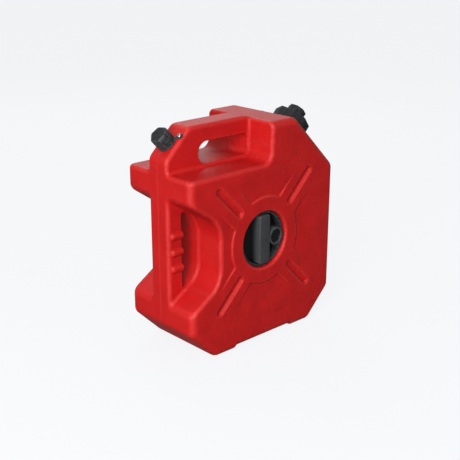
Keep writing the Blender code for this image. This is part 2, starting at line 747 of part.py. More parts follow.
def build_lock(axis):
    """Housing, knob, key cylinder, sliding bolt, shaft and cross bar.

    Heights are along the lock's axis: 0 at the tank's front face, falling
    towards the back.
    """
    front_end = -(HALF_DEPTH - WAIST_HALF_LENGTH - CONTACT_GAP)
    rear_start = -(HALF_DEPTH + WAIST_HALF_LENGTH + CONTACT_GAP)
    rear_end = -(DEPTH - HOUSING_SET_BACK)
    shaft_bore = SHAFT_RADIUS + RUNNING_GAP

    disc_high = -KNOB_FACE_DEPTH
    disc_low = disc_high - KNOB_DISC_THICKNESS
    back_high = disc_low - CONTACT_GAP
    back_low = back_high - KNOB_BACK_THICKNESS
    washer_high = back_low - CONTACT_GAP
    washer_low = washer_high - WASHER_THICKNESS
    web_high = washer_low - CONTACT_GAP
    web_low = web_high - WEB_THICKNESS
    spring_high = web_low - CONTACT_GAP
    spring_low = spring_high - SPRING_LENGTH
    end_washer_high = spring_low - CONTACT_GAP
    end_washer_low = end_washer_high - WASHER_THICKNESS
    clip_high = end_washer_low - CONTACT_GAP
    clip_low = clip_high - CLIP_THICKNESS
    rear_web_high = -(DEPTH - REAR_WEB_SET_BACK)
    rear_web_low = rear_web_high - WEB_THICKNESS
    bar_high = rear_web_low - 4 * RUNNING_GAP
    bar_low = bar_high - CROSS_BAR_THICKNESS
    nut_high = bar_low - CONTACT_GAP
    nut_low = nut_high - NUT_THICKNESS

    case_radius = CYLINDER_BOSS_RADIUS - CYLINDER_RIM - CONTACT_GAP
    plug_radius = case_radius - CASE_WALL - CONTACT_GAP
    cam_high = back_high - CONTACT_GAP
    cam_low = cam_high - CAM_THICKNESS
    bolt_high = cam_low - CONTACT_GAP
    bolt_low = bolt_high - BOLT_THICKNESS
    channel_floor = back_low + KNOB_BACK_FLOOR
    channel_width = BOLT_WIDTH + 2 * RUNNING_GAP

    housing = turned("lock_housing", [
        (HOUSING_RADIUS, front_end), (HOUSING_RADIUS, -HOUSING_SET_BACK),
        (HOUSING_BORE_RADIUS, -HOUSING_SET_BACK), (HOUSING_BORE_RADIUS, web_high), (shaft_bore, web_high),
        (shaft_bore, web_low), (HOUSING_BORE_RADIUS, web_low), (HOUSING_BORE_RADIUS, front_end)], axis, BLACK)
    for index, turn in enumerate((0.0, math.pi / 2)):
        notch = prism("bolt_notch_%d" % (index + 1),
                      rectangle(3 * HOUSING_WALL, channel_width, 0,
                                (HOUSING_RADIUS - HOUSING_WALL / 2, 0)),
                      bolt_low - RUNNING_GAP, bolt_high + RUNNING_GAP, axis)
        notch.rotation_euler = (0, 0, turn)
        boolean(housing, notch)
    turned("rear_cup", [
        (HOUSING_RADIUS, rear_end), (HOUSING_RADIUS, rear_start), (HOUSING_BORE_RADIUS, rear_start),
        (HOUSING_BORE_RADIUS, rear_web_high), (shaft_bore, rear_web_high), (shaft_bore, rear_web_low),
        (HOUSING_BORE_RADIUS, rear_web_low), (HOUSING_BORE_RADIUS, rear_end)], axis, BLACK)

    bar_length = 2 * (KNOB_RADIUS - KNOB_BAR_END_GAP)
    knob = turned("lock_knob", rod_profile(KNOB_RADIUS, disc_low, disc_high), axis, GREY)
    bar = prism("knob_bar", rectangle(KNOB_BAR_WIDTH, bar_length, KNOB_BAR_RADIUS),
                disc_high - CONTACT_GAP, -BAR_SET_BACK, axis, edge=KNOB_BAR_RADIUS / 3)
    boss = at_cylinder(turned("cylinder_boss", rod_profile(
        CYLINDER_BOSS_RADIUS, disc_high - 2 * CONTACT_GAP, -2 * BAR_SET_BACK), axis))
    cylinder_bore = at_cylinder(turned("cylinder_bore", rod_profile(
        case_radius + CONTACT_GAP, disc_low - CUT_MARGIN, CUT_MARGIN), axis))
    shaft_socket = turned("shaft_socket", rod_profile(
        SHAFT_RADIUS + CONTACT_GAP, disc_low - CUT_MARGIN, -SHAFT_FRONT_DEPTH + CONTACT_GAP), axis)
    pin_slot = prism("drive_pin_slot", rectangle(
        2 * (DRIVE_PIN_RADIUS + CONTACT_GAP), DRIVE_PIN_LENGTH + 2 * CONTACT_GAP, 0),
        disc_low - CUT_MARGIN, -DRIVE_PIN_DEPTH + DRIVE_PIN_RADIUS + CONTACT_GAP, axis)
    boolean(knob, bar, "UNION")
    boolean(knob, boss, "UNION")
    for tool in (cylinder_bore, shaft_socket, pin_slot):
        boolean(knob, tool)

    knob_back = turned("knob_back", tube_profile(KNOB_RADIUS, SHAFT_RADIUS + CONTACT_GAP,
                                                 back_low, back_high), axis, BLACK)
    channel_start = BOLT_TAIL - RUNNING_GAP
    boolean(knob_back, prism("bolt_channel", rectangle(
        KNOB_RADIUS + CUT_MARGIN - channel_start, channel_width, 0,
        ((KNOB_RADIUS + CUT_MARGIN + channel_start) / 2, 0)),
        channel_floor, back_high + CUT_MARGIN, axis))

    at_cylinder(turned("cylinder_case", tube_profile(case_radius, plug_radius + CONTACT_GAP,
                                                     disc_low, -CYLINDER_SET_BACK),
                       axis, BLACK_NICKEL, steps=SMALL_TURN_STEPS))
    plug = at_cylinder(turned("key_plug", rod_profile(plug_radius, disc_low,
                                                      -CYLINDER_SET_BACK - CONTACT_GAP),
                              axis, BLACK_NICKEL, steps=SMALL_TURN_STEPS))
    keyway_floor = -CYLINDER_SET_BACK - KEYWAY_DEPTH
    keyway_height = 2 * (plug_radius - KEYWAY_EDGE)
    boolean(plug, at_cylinder(prism("keyway", rectangle(KEYWAY_WIDTH, keyway_height, 0),
                                    keyway_floor, CUT_MARGIN, axis)))

    cam = at_cylinder(turned("lock_cam", rod_profile(CAM_RADIUS, cam_low, cam_high), axis, STEEL,
                             steps=SMALL_TURN_STEPS))
    start_angle = math.radians(135)
    cam_pin = turned("cam_pin", rod_profile(CAM_PIN_RADIUS, bolt_low + RUNNING_GAP,
                                            cam_low + CONTACT_GAP), axis, steps=SCREW_STEPS)
    cam_pin.location = (CYLINDER_OFFSET + CAM_THROW * math.cos(start_angle),
                        CAM_THROW * math.sin(start_angle), 0)
    boolean(cam, cam_pin, "UNION")

    bolt_tip = KNOB_RADIUS - RUNNING_GAP
    bolt = prism("lock_bolt", rectangle(bolt_tip - BOLT_TAIL, BOLT_WIDTH, 0.0006,
                                        ((bolt_tip + BOLT_TAIL) / 2, 0)),
                 bolt_low, bolt_high, axis, STEEL)
    slot_width = 2 * (CAM_PIN_RADIUS + BOLT_SLOT_GAP)
    slot_low = CAM_THROW * math.sin(start_angle) - slot_width / 2
    slot_high = CAM_THROW + slot_width / 2
    boolean(bolt, prism("bolt_slot", rectangle(slot_width, slot_high - slot_low, 0.0008, (
        cam_pin.location.x, (slot_low + slot_high) / 2)),
        bolt_low - CUT_MARGIN, bolt_high + CUT_MARGIN, axis))

    shaft_end = nut_low - 2 * RUNNING_GAP
    shoulder = bar_high + CONTACT_GAP
    groove_radius = SHAFT_RADIUS - CLIP_GROOVE
    shaft = turned("lock_shaft", [
        (0, shaft_end), (SHAFT_END_RADIUS, shaft_end), (SHAFT_END_RADIUS, shoulder),
        (SHAFT_RADIUS, shoulder), (SHAFT_RADIUS, clip_low - CONTACT_GAP),
        (groove_radius, clip_low - CONTACT_GAP), (groove_radius, clip_high + CONTACT_GAP / 2),
        (SHAFT_RADIUS, clip_high + CONTACT_GAP / 2), (SHAFT_RADIUS, -SHAFT_FRONT_DEPTH),
        (0, -SHAFT_FRONT_DEPTH)], axis, STEEL, steps=SMALL_TURN_STEPS)
    pin_hole = turned("drive_pin_hole", rod_profile(
        DRIVE_PIN_RADIUS + CONTACT_GAP, -CUT_MARGIN, CUT_MARGIN), axis, steps=SCREW_STEPS)
    pin_hole.location = (0, 0, -DRIVE_PIN_DEPTH)
    pin_hole.rotation_euler = (math.pi / 2, 0, 0)
    boolean(shaft, pin_hole)
    drive_pin = turned("drive_pin", rod_profile(DRIVE_PIN_RADIUS, -DRIVE_PIN_LENGTH / 2,
                                                DRIVE_PIN_LENGTH / 2), axis, STEEL, steps=SCREW_STEPS)
    drive_pin.location = pin_hole.location
    drive_pin.rotation_euler = pin_hole.rotation_euler

    turned("thrust_washer", tube_profile(WASHER_RADIUS, shaft_bore, washer_low, washer_high),
           axis, STEEL, steps=SMALL_TURN_STEPS)
    turned("spring_washer", tube_profile(WASHER_RADIUS + SPRING_WIRE_RADIUS, shaft_bore,
                                         end_washer_low, end_washer_high), axis, STEEL,
           steps=SMALL_TURN_STEPS)
    turned("retaining_clip", tube_profile(CLIP_RADIUS, groove_radius + CONTACT_GAP, clip_low,
                                          clip_high), axis, STEEL, steps=SMALL_TURN_STEPS,
           sweep=2 * math.pi - CLIP_OPENING)
    build_spring(axis, spring_low, spring_high)

    cross_bar_length = 2 * (HOUSING_BORE_RADIUS - CROSS_BAR_END_GAP)
    cross_bar = prism("cross_bar", rectangle(CROSS_BAR_WIDTH, cross_bar_length, CROSS_BAR_ROUNDING),
                      bar_low, bar_high, axis, STEEL)
    boolean(cross_bar, turned("cross_bar_bore", rod_profile(
        SHAFT_END_RADIUS + CONTACT_GAP, bar_low - CUT_MARGIN, bar_high + CUT_MARGIN), axis,
        steps=SMALL_TURN_STEPS))
    nut = prism("shaft_nut", polygon(6, NUT_ACROSS / math.sqrt(3)), nut_low, nut_high, axis, STEEL,
                edge=0.0008)
    boolean(nut, turned("shaft_nut_bore", rod_profile(
        SHAFT_END_RADIUS + CONTACT_GAP, nut_low - CUT_MARGIN, nut_high + CUT_MARGIN), axis,
        steps=SMALL_TURN_STEPS))
    build_knob_screws(axis, knob, knob_back, back_low)


def build_spring(axis, low, high):
    """Compression spring around the shaft, with closed ends."""
    curve = bpy.data.curves.new("shaft_spring", "CURVE")
    curve.dimensions = "3D"
    curve.bevel_depth = SPRING_WIRE_RADIUS
    curve.bevel_resolution = 1
    curve.use_fill_caps = True
    spline = curve.splines.new("POLY")
    count = SPRING_TURNS * WIRE_STEPS_PER_TURN + 1
    spline.points.add(count - 1)
    bottom = low + SPRING_WIRE_RADIUS
    rise = high - low - 2 * SPRING_WIRE_RADIUS
    for index in range(count):
        angle = 2 * math.pi * index / WIRE_STEPS_PER_TURN
        point = (SPRING_RADIUS * math.cos(angle), SPRING_RADIUS * math.sin(angle),
                 bottom + rise * index / (count - 1))
        spline.points[index].co = (*point, 1)
    spring = bpy.data.objects.new("shaft_spring", curve)
    bpy.context.scene.collection.objects.link(spring)
    spring.parent = axis
    curve.materials.append(material_for(STEEL))


def build_knob_screws(axis, knob, knob_back, back_low):
    """Screws that hold the knob's back plate, in counterbored holes."""
    head_low = back_low + CONTACT_GAP
    head_high = head_low + KNOB_SCREW_HEAD_HEIGHT
    tip = head_high + KNOB_SCREW_LENGTH
    for index in range(KNOB_SCREW_COUNT):
        angle = KNOB_SCREW_TURN + 2 * math.pi * index / KNOB_SCREW_COUNT
        hole = turned("knob_screw_hole_%d" % (index + 1), [
            (0, back_low - CUT_MARGIN),
            (KNOB_SCREW_HEAD_RADIUS + CONTACT_GAP, back_low - CUT_MARGIN),
            (KNOB_SCREW_HEAD_RADIUS + CONTACT_GAP, head_high + CONTACT_GAP),
            (KNOB_SCREW_RADIUS + CONTACT_GAP, head_high + CONTACT_GAP),
            (KNOB_SCREW_RADIUS + CONTACT_GAP, tip + CONTACT_GAP), (0, tip + CONTACT_GAP)],
            axis, steps=SCREW_STEPS)
        screw = turned("knob_screw_%d" % (index + 1), [
            (0, head_low), (KNOB_SCREW_HEAD_RADIUS, head_low),
            (KNOB_SCREW_HEAD_RADIUS, head_high), (KNOB_SCREW_RADIUS, head_high),
            (KNOB_SCREW_RADIUS, tip), (0, tip)], axis, STEEL, steps=SCREW_STEPS)
        pitch_radius = KNOB_RADIUS - KNOB_SCREW_INSET
        for thing in (hole, screw):
            thing.location = (pitch_radius * math.cos(angle), pitch_radius * math.sin(angle), 0)
        boolean(knob, hole)
        boolean(knob_back, hole)


# ------------------------------------------------------------------ assembly
def centre_on_footprint(root):
    """Put the middle of the whole can's footprint over the origin."""
    bpy.context.view_layer.update()
    graph = bpy.context.evaluated_depsgraph_get()
    low = math.inf
    high = -math.inf
    for thing in bpy.context.scene.objects:
        if thing.type == "EMPTY" or thing.hide_render:
            continue
        evaluated = thing.evaluated_get(graph)
        places = [(evaluated.matrix_world @ vertex.co).x for vertex in evaluated.to_mesh().vertices]
        low = min(low, *places)
        high = max(high, *places)
        evaluated.to_mesh_clear()
    root.location.x = -(low + high) / 2


def main():
    for thing in list(bpy.data.objects):
        bpy.data.objects.remove(thing)
    root = add_empty("jerry_can", (0, 0, 0), (0, 0, 0))
    filler = add_empty("filler_axis", (HALF_WIDTH - FILLER_CHAMFER / 2, 0,
                                       BODY_TOP - FILLER_CHAMFER / 2), (0, math.pi / 4, 0), root)
    slide = BREATHER_SHIFT / math.sqrt(2)
    breather = add_empty("breather_axis", (-HALF_WIDTH + HANDLE_CHAMFER / 2 + slide, 0,
                                           HEIGHT - HANDLE_CHAMFER / 2 + slide),
                         (0, -math.pi / 4, 0), root)
    lock = add_empty("lock_axis", (TUNNEL_X, -HALF_DEPTH, TUNNEL_Z), (math.pi / 2, 0, 0), root)
    build_tank(root, filler, breather)
    build_filler(filler)
    build_breather(breather)
    build_lock(lock)
    centre_on_footprint(root)


main()
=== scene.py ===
"""Looks of the jerry can: tank skin, hardware, materials, light and camera.

Metres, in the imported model's frame: X is the width (grip at -X), -Y is the
front, +Z is up. The tank is a signed distance function, negative inside, that
is meshed and smoothed; the hardware is soft-edged copies of the CAD pieces.
"""
import json
import math

import bmesh
import bpy
import numpy as np
from mathutils import Matrix, Vector


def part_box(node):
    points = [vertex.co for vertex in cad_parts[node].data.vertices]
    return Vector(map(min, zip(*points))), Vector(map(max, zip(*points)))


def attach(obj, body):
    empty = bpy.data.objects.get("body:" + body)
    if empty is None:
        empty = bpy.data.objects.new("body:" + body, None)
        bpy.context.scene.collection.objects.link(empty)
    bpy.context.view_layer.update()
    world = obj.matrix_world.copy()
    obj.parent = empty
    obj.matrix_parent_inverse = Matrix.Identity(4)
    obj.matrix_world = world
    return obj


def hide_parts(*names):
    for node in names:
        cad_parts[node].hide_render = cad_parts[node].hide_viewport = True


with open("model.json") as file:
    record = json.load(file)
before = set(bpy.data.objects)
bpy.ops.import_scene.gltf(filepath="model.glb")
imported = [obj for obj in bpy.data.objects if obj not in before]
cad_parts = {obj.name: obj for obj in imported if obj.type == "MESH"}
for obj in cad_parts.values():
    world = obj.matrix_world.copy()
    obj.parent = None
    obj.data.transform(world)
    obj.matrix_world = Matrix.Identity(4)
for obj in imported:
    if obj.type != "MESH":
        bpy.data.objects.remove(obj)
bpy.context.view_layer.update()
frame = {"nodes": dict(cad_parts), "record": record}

# ------------------------------------------------- places, from the CAD frame
TANK_LOW, TANK_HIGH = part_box("tank_body")
CENTRE_X = (TANK_LOW.x + TANK_HIGH.x) / 2
HALF_WIDTH = (TANK_HIGH.x - TANK_LOW.x) / 2
HALF_DEPTH = (TANK_HIGH.y - TANK_LOW.y) / 2
HEIGHT = TANK_HIGH.z

# ---------------------------------------------------------------- tank sizes
EDGE_RADIUS = 0.009
CORNER_RADIUS = 0.012
SHOULDER_DROP = 0.0025
SHOULDER_RAMP = 0.012
SHOULDER_FADE = (0.200, 0.230)
FILLER_CHAMFER = 0.070
BOTTOM_CHAMFER = 0.0385
HANDLE_CHAMFER = 0.035
ARCH_HEIGHT = 0.003
ARCH_EDGE = (0.0465, 0.0515)
ARCH_FADE = (0.015, 0.045)

BAR_HALF_DEPTH = 0.017
BAR_FILLET = 0.005
RECESS_EDGE = 0.0048
HANDLE_RECESS_X = 0.0086
HANDLE_SHELF_DROP = 0.0515
HANDLE_RECESS_RADIUS = 0.014
HANDLE_SILL = 0.004
HANDLE_BAR_HEIGHT = 0.021
HANDLE_WEB_LENGTH = 0.049
GRIP_BAR_WIDTH = 0.021
GRIP_RECESS_LENGTH = 0.047
GRIP_BOTTOM = 0.0658
GRIP_TOP_DROP = 0.080
GRIP_TOP_SLOPE = 0.69
GRIP_BOTTOM_SLOPE = 0.64
GRIP_RECESS_RADIUS = 0.015
WINDOW_LAND = 0.002
WINDOW_RADIUS = 0.007
WINDOW_END_RADIUS = 0.0132
WINDOW_EDGE = 0.002

RIB_COUNT = 3
RIB_PITCH = 0.0206
RIB_HALF_SIZE = (0.0098, 0.0196, 0.00425)
RIB_INSET = 0.004
RIB_RADIUS = 0.0036
RIB_FILLET = 0.0018

TUNNEL_X = -0.0015
TUNNEL_Z = 0.1332
TUNNEL_RADIUS = 0.036
TUNNEL_RIM = 0.0035
WAIST_RADIUS = 0.032
WAIST_HALF_LENGTH = 0.003

SLOT_HALF_WIDTH = 0.00575
SLOT_DEPTH = 0.003
SLOT_WALL = 0.0038
SLOT_RANGE = (0.0545, 0.112)
PANEL_DEPTH = 0.0015
PANEL_START = (0.0545, 0.0570)
PANEL_FADE = (0.060, 0.096)
PANEL_BAND = (0.0178, 0.0202)

SEAM_HEIGHT = 0.00035
SEAM_HALF_WIDTH = 0.0012
SEAM_START = (0.004, 0.010)

FILLER_RADIUS = 0.0187
FILLER_BORE = 0.0148
FILLER_HEIGHT = 0.018
FILLER_BOSS_RADIUS = 0.0225
FILLER_BOSS_HEIGHT = 0.003
BREATHER_SHIFT = -0.0025
BREATHER_RADIUS = 0.0072
BREATHER_BORE = 0.0045
BREATHER_HEIGHT = 0.0145
NECK_ROOT = 0.006
BORE_DEPTH = 0.030
NECK_EDGE = 0.0006
NECK_FILLET = 0.0012

# --------------------------------------------------------------- mesh sizes
CELL = 0.0015
GRID_MARGIN = 0.004
PROJECTION_STEPS = 4
GRADIENT_STEP = 0.0002
CURVE_STEP = 0.0012
TANK_TRIANGLES = 185000
# Curvature range of the lighter edges: partly rubbed wear, partly painted highlight.
WEAR_AND_HIGHLIGHT_START = 70.0
WEAR_AND_HIGHLIGHT_RANGE = 330.0
WELD = 0.00002

# ------------------------------------------------------------ hardware sizes
FLAT_ANGLE = math.radians(1)
EDGE_ANGLE = math.radians(32)
BEVEL_STEPS = 3
FRAME_PROUD = 0.0008
FRAME_WIDTH = 0.0008
BREATHER_CAP_FLATS = 6
BREATHER_CAP_TURN = math.radians(10)
BREATHER_CAP_APOTHEM = 0.0103
BREATHER_CAP_FRAME = (0.0062, 0.0152)
BREATHER_CAP_FRAME_HALF_WIDTH = 0.0034
BREATHER_CAP_RIBS = 6
THREAD_STEPS = 48
THREAD_RUN_OUT = 12
THREAD_ROOT = 0.0004
THREAD_BASE_SHARE = 0.32
THREAD_CREST_SHARE = 0.35
THREAD_SMOOTH_ANGLE = math.radians(40)

# --------------------------------------------------- finishes, light, camera
MOTTLE_SCALE = 38.0
WAVE_SCALE = 45.0
# Noise size that breaks up the lighter edges, partly wear and partly painted highlight.
WEAR_AND_HIGHLIGHT_PATCH_SCALE = 260.0
CLOUD_SCALE = 160.0
DRAW_SCALE = 900.0
METAL_RUB_SCALE = 400.0
METAL_RUB = 0.5
DRAW_HEIGHT = 0.00003
# Painted shade on the lock knob: the Y range over which its plastic blackens, and the shade colour.
KNOB_SHADE = (-0.052, -0.044)
KNOB_PAINTED_SHADE_COLOUR = (0.004, 0.0045, 0.005)
FLOOR_HALF_SIZE = 20.0
FLOOR_GLOW = 0.86
SKY_LOW = 0.14
SKY_HIGH = 0.46
CAMERA_AZIMUTH = math.radians(-42.9)
CAMERA_ELEVATION = math.radians(19.3)
CAMERA_DISTANCE = 1.032
CAMERA_TARGET = Vector((-0.0594, -0.0585, 0.1601))
CAMERA_LENS = 68.9


# --------------------------------------------------------- distance functions
def smooth_step(value, low, high):
    """0 below low, 1 above high, with a smooth ramp between them."""
    share = np.clip((value - low) / (high - low), 0.0, 1.0)
    return share * share * (3 - 2 * share)


def both(a, b, radius):
    """Intersection of two distances with a rounded outer edge."""
    corner = np.hypot(np.maximum(a + radius, 0), np.maximum(b + radius, 0))
    return np.minimum(-radius, np.maximum(a, b)) + corner


def either(a, b, radius):
    """Union of two distances with a fillet."""
    corner = np.hypot(np.maximum(radius - a, 0), np.maximum(radius - b, 0))
    return np.maximum(radius, np.minimum(a, b)) - corner


def polygon_distance(x, z, corners):
    """Signed distance to a closed polygon."""
    nearest = np.full(np.broadcast(x, z).shape, np.inf)
    inside = np.zeros(nearest.shape, bool)
    for (ax, az), (bx, bz) in zip(corners, corners[1:] + corners[:1]):
        run, rise = bx - ax, bz - az
        share = np.clip(((x - ax) * run + (z - az) * rise) / (run * run + rise * rise), 0, 1)
        nearest = np.minimum(nearest, np.hypot(x - ax - run * share, z - az - rise * share))
        if rise:
            inside ^= ((az > z) != (bz > z)) & (x < ax + run * (z - az) / rise)
    return np.where(inside, -nearest, nearest)


def inset_polygon(corners, inset):
    """A convex counter-clockwise polygon with its sides moved inwards."""
    moved = []
    for index, corner in enumerate(corners):
        here = Vector(corner)
        before = (here - Vector(corners[index - 1])).normalized()
        after = (Vector(corners[(index + 1) % len(corners)]) - here).normalized()
        normal = Vector((-before.y, before.x))
        bisector = (normal + Vector((-after.y, after.x))).normalized()
        moved.append(tuple(here + bisector * inset / bisector.dot(normal)))
    return moved


def outline_corners():
    """Front outline with the lower, flat shoulder height all along the top."""
    top = HEIGHT - SHOULDER_DROP
    foot = HALF_WIDTH - BOTTOM_CHAMFER
    return [
        (-foot, 0.0), (foot, 0.0),
        (HALF_WIDTH, BOTTOM_CHAMFER), (HALF_WIDTH, top - FILLER_CHAMFER),
        (HALF_WIDTH - FILLER_CHAMFER, top), (-HALF_WIDTH + HANDLE_CHAMFER, top),
        (-HALF_WIDTH, top - HANDLE_CHAMFER), (-HALF_WIDTH, BOTTOM_CHAMFER),
    ]


OUTLINE = inset_polygon(outline_corners(), CORNER_RADIUS)


def outline_distance(x, z):
    """The can's outline, with the raised handle side and the bottom arch."""
    lift = SHOULDER_DROP * (1 - smooth_step(x, HANDLE_RECESS_X - SHOULDER_RAMP / 2,
                                            HANDLE_RECESS_X + SHOULDER_RAMP / 2))
    arch = ARCH_HEIGHT * (1 - smooth_step(np.abs(x), *ARCH_EDGE))
    height = z - lift * smooth_step(z, *SHOULDER_FADE) - arch * (1 - smooth_step(z, *ARCH_FADE))
    return polygon_distance(x, height, OUTLINE) - CORNER_RADIUS


def face_relief(x, z):
    """How deep the front and back faces are pressed in."""
    across = x - TUNNEL_X
    up = z - TUNNEL_Z
    radius = np.hypot(across, up)
    off_diagonal = np.minimum(np.abs(across - up), np.abs(across + up)) / math.sqrt(2)
    panel = PANEL_DEPTH * smooth_step(radius, *PANEL_START)
    panel = panel * (1 - smooth_step(radius, *PANEL_FADE)) * smooth_step(off_diagonal, *PANEL_BAND)
    along = np.sqrt(np.maximum(radius ** 2 - off_diagonal ** 2, 0))
    middle = sum(SLOT_RANGE) / 2
    straight = (SLOT_RANGE[1] - SLOT_RANGE[0]) / 2 - SLOT_HALF_WIDTH
    slot = np.hypot(np.maximum(np.abs(along - middle) - straight, 0), off_diagonal)
    depth = SLOT_DEPTH * np.clip((SLOT_HALF_WIDTH - slot) / SLOT_WALL, 0, 1)
    return np.maximum(panel, depth)


def grip_edges(x):
    """Distances below the grip recess's lower edge and above its upper edge."""
    reach = x + HALF_WIDTH
    low = GRIP_BOTTOM + GRIP_BOTTOM_SLOPE * reach
    high = HEIGHT - GRIP_TOP_DROP - GRIP_TOP_SLOPE * reach
    return low, high


def grip_zone(x, z, land):
    """The grip recess, drawn in by land on its three sides."""
    low, high = grip_edges(x)
    under = (low - z) / math.hypot(1, GRIP_BOTTOM_SLOPE) + land
    over = (z - high) / math.hypot(1, GRIP_TOP_SLOPE) + land
    inner = x - (-HALF_WIDTH + GRIP_RECESS_LENGTH) + land
    return both(both(inner, under, GRIP_RECESS_RADIUS), over, GRIP_RECESS_RADIUS)


def handle_window(x, z):
    """Finger opening under the top handle."""
    low = HEIGHT - HANDLE_SHELF_DROP + HANDLE_SILL
    high = HEIGHT - HANDLE_BAR_HEIGHT
    span = np.abs(z - (low + high) / 2) - (high - low) / 2
    right = both(x - HANDLE_RECESS_X + WINDOW_LAND, span, WINDOW_RADIUS)
    return both(right, -HALF_WIDTH + HANDLE_WEB_LENGTH - x, WINDOW_END_RADIUS)


def rib_distance(x, y, z):
    """Finger ribs round the side grip."""
    half = RIB_HALF_SIZE
    centre_x = -HALF_WIDTH + RIB_INSET + half[0]
    centre_z = sum(grip_edges(-HALF_WIDTH + GRIP_BAR_WIDTH)) / 2
    nearest = np.inf
    for index in range(RIB_COUNT):
        level = centre_z + (index - (RIB_COUNT - 1) / 2) * RIB_PITCH
        sides = [np.abs(x - centre_x) - half[0] + RIB_RADIUS, np.abs(y) - half[1] + RIB_RADIUS,
                 np.abs(z - level) - half[2] + RIB_RADIUS]
        outside = np.sqrt(sum(np.maximum(side, 0) ** 2 for side in sides))
        within = np.minimum(np.maximum(np.maximum(sides[0], sides[1]), sides[2]), 0)
        nearest = np.minimum(nearest, outside + within - RIB_RADIUS)
    return nearest


def filler_place():
    """Where the filler's axis leaves the tank, and which way it points."""
    return (HALF_WIDTH - FILLER_CHAMFER / 2, HEIGHT - SHOULDER_DROP - FILLER_CHAMFER / 2), 1


def breather_place():
    """Where the breather's axis leaves the tank, and which way it points."""
    slide = BREATHER_SHIFT / math.sqrt(2)
    return (-HALF_WIDTH + HANDLE_CHAMFER / 2 + slide, HEIGHT - HANDLE_CHAMFER / 2 + slide), -1


def about_axis(x, y, z, place):
    """Height along a neck's axis and distance from it."""
    (start_x, start_z), lean = place
    height = ((x - start_x) * lean + (z - start_z)) / math.sqrt(2)
    side = ((x - start_x) - (z - start_z) * lean) / math.sqrt(2)
    return height, np.sqrt(side ** 2 + y ** 2)


def with_neck(solid, x, y, z, place, radius, bore, height):
    """The solid with a neck and its bore."""
    along, out = about_axis(x, y, z, place)
    neck = both(out - radius, np.abs(along - (height - NECK_ROOT) / 2)
                - (height + NECK_ROOT) / 2, NECK_EDGE)
    solid = either(solid, neck, NECK_FILLET)
    hole = np.maximum(out - bore, -along - BORE_DEPTH)
    return both(solid, -hole, NECK_EDGE)


def tank_distance(x, y, z):
    """Signed distance of the whole tank, x measured from its middle."""
    side = np.abs(y)
    seam = SEAM_HEIGHT * np.clip(1 - side / SEAM_HALF_WIDTH, 0, 1) * smooth_step(z, *SEAM_START)
    solid = both(outline_distance(x, z) - seam, side - HALF_DEPTH + face_relief(x, z), EDGE_RADIUS)
    shelf = HEIGHT - HANDLE_SHELF_DROP
    bar = side - BAR_HALF_DEPTH
    recess = both(x - HANDLE_RECESS_X, shelf - z, HANDLE_RECESS_RADIUS)
    solid = both(solid, either(-recess, bar, BAR_FILLET), RECESS_EDGE)
    solid = both(solid, either(-grip_zone(x, z, 0.0), bar, BAR_FILLET), RECESS_EDGE)
    solid = both(solid, -handle_window(x, z), WINDOW_EDGE)
    opening = both(grip_zone(x, z, WINDOW_LAND), -HALF_WIDTH + GRIP_BAR_WIDTH - x, WINDOW_RADIUS)
    solid = both(solid, -opening, WINDOW_EDGE)
    solid = either(solid, rib_distance(x, y, z), RIB_FILLET)

    out = np.hypot(x - TUNNEL_X, z - TUNNEL_Z)
    solid = both(solid, TUNNEL_RADIUS - out, TUNNEL_RIM)
    waist = np.maximum(np.maximum(WAIST_RADIUS - out, side - WAIST_HALF_LENGTH),
                       out - TUNNEL_RADIUS - WAIST_HALF_LENGTH)
    solid = np.minimum(solid, waist)

    along, radius = about_axis(x, y, z, filler_place())
    boss = both(radius - FILLER_BOSS_RADIUS, np.abs(along) - FILLER_BOSS_HEIGHT, NECK_EDGE)
    solid = either(solid, boss, NECK_FILLET)
    solid = with_neck(solid, x, y, z, filler_place(), FILLER_RADIUS, FILLER_BORE, FILLER_HEIGHT)
    return with_neck(solid, x, y, z, breather_place(), BREATHER_RADIUS, BREATHER_BORE,
                     BREATHER_HEIGHT)


# ------------------------------------------------------------- tank meshing
def gradient(points, step):
    """Direction in which the distance grows, at each point."""
    result = np.empty_like(points)
    for axis in range(3):
        ahead = points.copy()
        behind = points.copy()
        ahead[:, axis] += step
        behind[:, axis] -= step
        result[:, axis] = tank_distance(*ahead.T) - tank_distance(*behind.T)
    length = np.linalg.norm(result, axis=1, keepdims=True)
    return result / np.maximum(length, 1e-12)


def curvature(points, step):
    """Sum of the two curvatures, positive on outer edges, in 1/m."""
    total = -6 * tank_distance(*points.T)
    for axis in range(3):
        for way in (-step, step):
            moved = points.copy()
            moved[:, axis] += way
            total += tank_distance(*moved.T)
    return total / step ** 2


